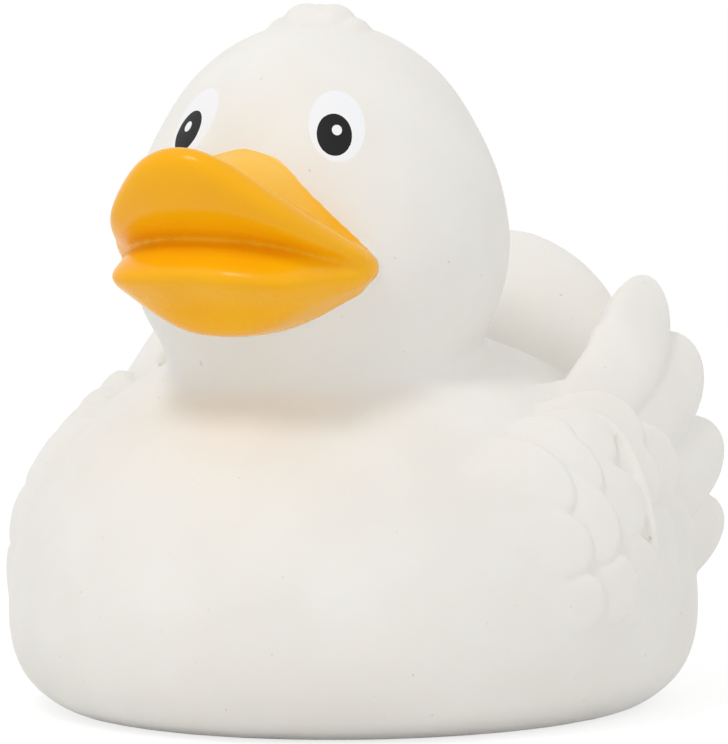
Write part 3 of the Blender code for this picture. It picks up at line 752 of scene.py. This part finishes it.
skin = fused("duck_skin", [trunk, *wing, bill, *tuft], SKIN_VOXEL, SKIN_PASSES)
skin = mirrored_half(thinned(skin, SKIN_FACES))
skin = cut_from(skin, ground_cutter())
hollow = fused("hollow", [body_form(WALL), head_form(WALL)], HOLLOW_VOXEL, HOLLOW_PASSES)
boss = (
    (0, RECESS_DEPTH + WALL),
    (RECESS_RADIUS + WALL, RECESS_DEPTH + WALL),
    (RECESS_RADIUS + WALL, 0),
    (0, 0),
)
hollow = cut_from(thinned(hollow, HOLLOW_FACES), turned_cutter("boss", boss))
skin = cut_from(skin, hollow)
seat = (
    (0, RECESS_DEPTH + 2 * WALL),
    (HOLE_RADIUS, RECESS_DEPTH + 2 * WALL),
    (HOLE_RADIUS, RECESS_DEPTH),
    (RECESS_RADIUS, RECESS_DEPTH),
    (RECESS_RADIUS, -WALL),
    (0, -WALL),
)
skin = cut_from(skin, turned_cutter("seat", seat))
skin.name = "duck_skin"
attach(skin, "root")
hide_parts("duck")


# Vinyl: warm off-white, soft and matte, with a faint blasted grain from the mould, a very
# slight unevenness of tone, and the odd tiny speck.
VINYL_LIGHT = (0.88, 0.86, 0.815, 1)
VINYL_DEEP = (0.85, 0.825, 0.775, 1)
VINYL_SPECK = (0.55, 0.45, 0.36, 1)


def noise_at(nodes, links, scale, detail=2.0):
    place = nodes.new("ShaderNodeTexCoord")
    cloud = nodes.new("ShaderNodeTexNoise")
    cloud.inputs["Scale"].default_value = scale
    cloud.inputs["Detail"].default_value = detail
    links.new(place.outputs["Object"], cloud.inputs["Vector"])
    return cloud.outputs["Fac"]


def ranged(nodes, links, value, from_low, from_high, to_low, to_high):
    span = nodes.new("ShaderNodeMapRange")
    span.inputs["From Min"].default_value = from_low
    span.inputs["From Max"].default_value = from_high
    span.inputs["To Min"].default_value = to_low
    span.inputs["To Max"].default_value = to_high
    links.new(value, span.inputs["Value"])
    return span.outputs[0]


def blended(nodes, links, share, first, second):
    mix = nodes.new("ShaderNodeMix")
    mix.data_type = "RGBA"
    links.new(share, mix.inputs["Factor"])
    for socket, colour in ((mix.inputs["A"], first), (mix.inputs["B"], second)):
        if isinstance(colour, tuple):
            socket.default_value = colour
        else:
            links.new(colour, socket)
    return mix.outputs["Result"]


def grained(nodes, links, scale, strength, distance):
    bump = nodes.new("ShaderNodeBump")
    bump.inputs["Strength"].default_value = strength
    bump.inputs["Distance"].default_value = distance
    links.new(noise_at(nodes, links, scale), bump.inputs["Height"])
    links.new(bump.outputs["Normal"], nodes["Principled BSDF"].inputs["Normal"])


def vinyl_material():
    made, nodes, links = shader_of("soft_vinyl")
    shader = nodes["Principled BSDF"]
    cloud = ranged(nodes, links, noise_at(nodes, links, 70), 0.35, 0.65, 0, 1)
    tone = blended(nodes, links, cloud, VINYL_LIGHT, VINYL_DEEP)
    speck = ranged(nodes, links, noise_at(nodes, links, 1500, 0), 0.86, 0.88, 0, 0.4)
    tone = blended(nodes, links, speck, tone, VINYL_SPECK)
    links.new(tone, shader.inputs["Base Color"])
    rough = ranged(nodes, links, noise_at(nodes, links, 300), 0.3, 0.7, 0.46, 0.56)
    links.new(rough, shader.inputs["Roughness"])
    shader.inputs["Specular IOR Level"].default_value = 0.25
    shader.inputs["Subsurface Weight"].default_value = 0.25
    shader.inputs["Subsurface Radius"].default_value = (1.0, 0.62, 0.4)
    shader.inputs["Subsurface Scale"].default_value = 2.0 * MM
    grained(nodes, links, 2600, 0.12, 0.05 * MM)
    return made


skin.data.materials.clear()
skin.data.materials.append(vinyl_material())


# Bill paint: a glossy orange lacquer sprayed over the bill up to its root, in a line that
# wanders slightly. A painted sheen makes the colour paler on the hump between the rim and the forehead.
BILL_CORNER = (14.7, 51.6)
BILL_PROUD = 0.8
PAINT_MEET = 1.6
PAINT_WANDER = 0.1
PAINT_FRONT = 8.5
PAINT_FLOOR = 40.0
PAINT_SNAP = 0.02
PAINT_CUTS = 2
PAINT_GRAIN = 0.3
ORANGE_LIGHT = (0.97, 0.47, 0.002, 1)
ORANGE_DEEP = (0.95, 0.44, 0.002, 1)
# Painted sheen: a paler orange laid on the hump in place of the white room's reflection in the gloss.
ORANGE_PAINTED_SHEEN = (0.96, 0.58, 0.10, 1)
# The painted sheen grows from the first to the second distance ahead of the head's axis, and from the
# first to the second height, in mm.
SHEEN_AHEAD = (27.0, 19.0)
SHEEN_HEIGHTS = (56.5, 62.0)


HEAD_PROFILE = smooth_line([Vector(p) for p in HEAD_OUTLINE], 8)


def head_radius(z):
    for a, b in zip(HEAD_PROFILE, HEAD_PROFILE[1:]):
        if z <= b.y:
            return a.x + (b.x - a.x) * (z - a.y) / (b.y - a.y)
    return 0.0


def painted_outline():
    """The paint's edge on the head seen from the front, down one side of the bill, as (x, z)."""
    root = [Vector((x, z)) for x, _, z in BILL_LINES["root"]]
    chin = [Vector((x, z)) for x, _, z in reversed(BILL_LINES["chin"])]
    line = smooth_line([*root, Vector(BILL_CORNER), *chin], 6)
    return [(p.x, p.y) for p in line]


PAINT_EDGE = painted_outline()


def outline_reach(x, z):
    """How far inside the paint's edge a point of the front view is, in mm."""
    nearest, crossings = 1e9, 0
    for (xa, za), (xb, zb) in zip(PAINT_EDGE, PAINT_EDGE[1:]):
        run, rise = xb - xa, zb - za
        share = min(1.0, max(0.0, ((x - xa) * run + (z - za) * rise) / (run * run + rise * rise)))
        nearest = min(nearest, math.hypot(x - xa - share * run, z - za - share * rise))
        if (za > z) != (zb > z) and x < xa + (z - za) * run / rise:
            crossings += 1
    return nearest if crossings % 2 else -nearest


def head_place(co):
    """A point of the skin in mm, with x on either side made positive and y from the head."""
    return abs(co.x) / MM, (co.y - HEAD_Y) / MM, co.z / MM


def bill_reach(co):
    """How far inside the bill's paint a point is, in mm."""
    x, y, z = head_place(co)
    if y > -PAINT_FRONT or z < PAINT_FLOOR:
        return -1.0
    proud = math.hypot(x, y / BROW_FULLNESS) - head_radius(z) - BILL_PROUD
    beak = min(proud, BILL_LINES["crest"][0][2] - z)
    wander = PAINT_WANDER * noise.noise(Vector((x, y, z)) * 0.9)
    flat = outline_reach(x, z)
    meet = max(0.0, 1 - abs(flat - beak) / PAINT_MEET) ** 2 * PAINT_MEET / 4
    return max(flat, beak) + meet + wander


def paint(obj, coat, reach, grain):
    """Cut the skin's faces along the edge of a coat, and give those inside it the coat."""
    obj.data.materials.append(coat)
    number = len(obj.data.materials) - 1
    bm = bmesh.new()
    bm.from_mesh(obj.data)
    for _ in range(PAINT_CUTS):
        near = {v for v in bm.verts if abs(reach(v.co)) < 2 * grain}
        long = [e for e in bm.edges if near.intersection(e.verts) and e.calc_length() > grain * MM]
        bmesh.ops.subdivide_edges(bm, edges=long, cuts=1)
        bmesh.ops.triangulate(bm, faces=[f for f in bm.faces if len(f.verts) > 3])
    depth = {}
    for v in bm.verts:
        inside = reach(v.co)
        depth[v] = 0.0 if abs(inside) < PAINT_SNAP else inside
    line = [v for v in bm.verts if depth[v] == 0]
    for edge in [e for e in bm.edges if depth[e.verts[0]] * depth[e.verts[1]] < 0]:
        a, b = edge.verts
        share = depth[a] / (depth[a] - depth[b])
        vert = bmesh.utils.edge_split(edge, a, share)[1]
        depth[vert] = 0.0
        line.append(vert)
    bmesh.ops.connect_verts(bm, verts=line)
    bmesh.ops.triangulate(bm, faces=[f for f in bm.faces if len(f.verts) > 3])
    for face in bm.faces:
        if reach(face.calc_center_median()) > 0:
            face.material_index = number
    bm.to_mesh(obj.data)
    bm.free()


def lacquer_material():
    made, nodes, links = shader_of("bill_lacquer")
    shader = nodes["Principled BSDF"]
    cloud = ranged(nodes, links, noise_at(nodes, links, 90), 0.35, 0.65, 0, 1)
    coat = blended(nodes, links, cloud, ORANGE_LIGHT, ORANGE_DEEP)
    place = nodes.new("ShaderNodeTexCoord")
    axes = nodes.new("ShaderNodeSeparateXYZ")
    links.new(place.outputs["Object"], axes.inputs[0])
    # Painted sheen: the colour turns paler behind the rim and high on the hump; thin is the mask of this
    # painted sheen.
    sheen_starts, sheen_full = [HEAD_Y - ahead * MM for ahead in SHEEN_AHEAD]
    behind = ranged(nodes, links, axes.outputs["Y"], sheen_starts, sheen_full, 0, 1)
    low, high = [height * MM for height in SHEEN_HEIGHTS]
    above = ranged(nodes, links, axes.outputs["Z"], low, high, 0, 1)
    thin = nodes.new("ShaderNodeMath")
    thin.operation = "MULTIPLY"
    links.new(behind, thin.inputs[0])
    links.new(above, thin.inputs[1])
    links.new(blended(nodes, links, thin.outputs[0], coat, ORANGE_PAINTED_SHEEN), shader.inputs["Base Color"])
    rough = ranged(nodes, links, noise_at(nodes, links, 220), 0.3, 0.7, 0.22, 0.30)
    links.new(rough, shader.inputs["Roughness"])
    shader.inputs["Specular IOR Level"].default_value = 0.22
    grained(nodes, links, 700, 0.10, 0.08 * MM)
    return made


paint(skin, lacquer_material(), bill_reach, PAINT_GRAIN)


# Eyes: pad-printed in two colours, an oval of clean white with a black pupil low in it and
# a small white glint at the pupil's upper outer side. The print sits a little to one side.
# Each oval: how far outward and to that side, height, half width and half height.
EYE_ANGLE = math.radians(29.6)
EYE_DRIFT = math.radians(1.4)
EYE_WHITE = (0.0, 0.35, 66.7, 3.15, 3.8)
EYE_PUPIL = (0.0, 0.0, 65.8, 1.95, 2.25)
EYE_GLINT = (0.3, 0.0, 66.3, 0.56, 0.56)
EYE_GRAIN = 0.2


def oval_reach(oval):
    """How far inside a printed oval a point of the skin is, in mm."""
    outward, drift, height, half_width, half_height = oval

    def reach(co):
        x, y, z = head_place(co)
        if y > -PAINT_FRONT or z < PAINT_FLOOR:
            return -1.0
        side = 1 if co.x > 0 else -1
        across = (math.atan2(x, -y) - EYE_ANGLE - side * EYE_DRIFT) * math.hypot(x, y)
        across -= outward + side * drift
        spread = math.hypot(across / half_width, (z - height) / half_height)
        return (1 - spread) * half_width

    return reach


def ink_material(name, colour, roughness):
    made, nodes, links = shader_of(name)
    shader = nodes["Principled BSDF"]
    shader.inputs["Base Color"].default_value = colour
    rough = ranged(nodes, links, noise_at(nodes, links, 900), 0.3, 0.7, roughness, roughness + 0.1)
    links.new(rough, shader.inputs["Roughness"])
    shader.inputs["Specular IOR Level"].default_value = 0.2
    grained(nodes, links, 2600, 0.08, 0.05 * MM)
    return made


white_ink = ink_material("eye_white_ink", (0.90, 0.91, 0.93, 1), 0.40)
black_ink = ink_material("eye_black_ink", (0.009, 0.009, 0.010, 1), 0.36)
paint(skin, white_ink, oval_reach(EYE_WHITE), EYE_GRAIN)
paint(skin, black_ink, oval_reach(EYE_PUPIL), EYE_GRAIN)
paint(skin, white_ink, oval_reach(EYE_GLINT), EYE_GRAIN)
skin.data.shade_smooth()
skin.data.set_sharp_from_angle(angle=math.radians(50))


# Squeaker: a natural plastic cap pressed into the base, with a red reed plug behind its
# air hole. Both keep the CAD's shape, with a moulded finish.
CAP_COLOUR = (0.80, 0.80, 0.77, 1)
REED_COLOUR = (0.62, 0.12, 0.09, 1)


def plastic_material(name, colour):
    made, nodes, links = shader_of(name)
    shader = nodes["Principled BSDF"]
    cloud = noise_at(nodes, links, 260)
    deep = tuple(0.93 * c for c in colour[:3]) + (1,)
    links.new(blended(nodes, links, cloud, colour, deep), shader.inputs["Base Color"])
    rough = ranged(nodes, links, noise_at(nodes, links, 500), 0.3, 0.7, 0.36, 0.48)
    links.new(rough, shader.inputs["Roughness"])
    grained(nodes, links, 1800, 0.10, 0.05 * MM)
    return made


for node, name, colour in (
    ("squeaker_cap", "cap_plastic", CAP_COLOUR),
    ("squeaker_reed", "reed_plastic", REED_COLOUR),
):
    for piece_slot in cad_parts[node].material_slots:
        piece_slot.material = plastic_material(name, colour)
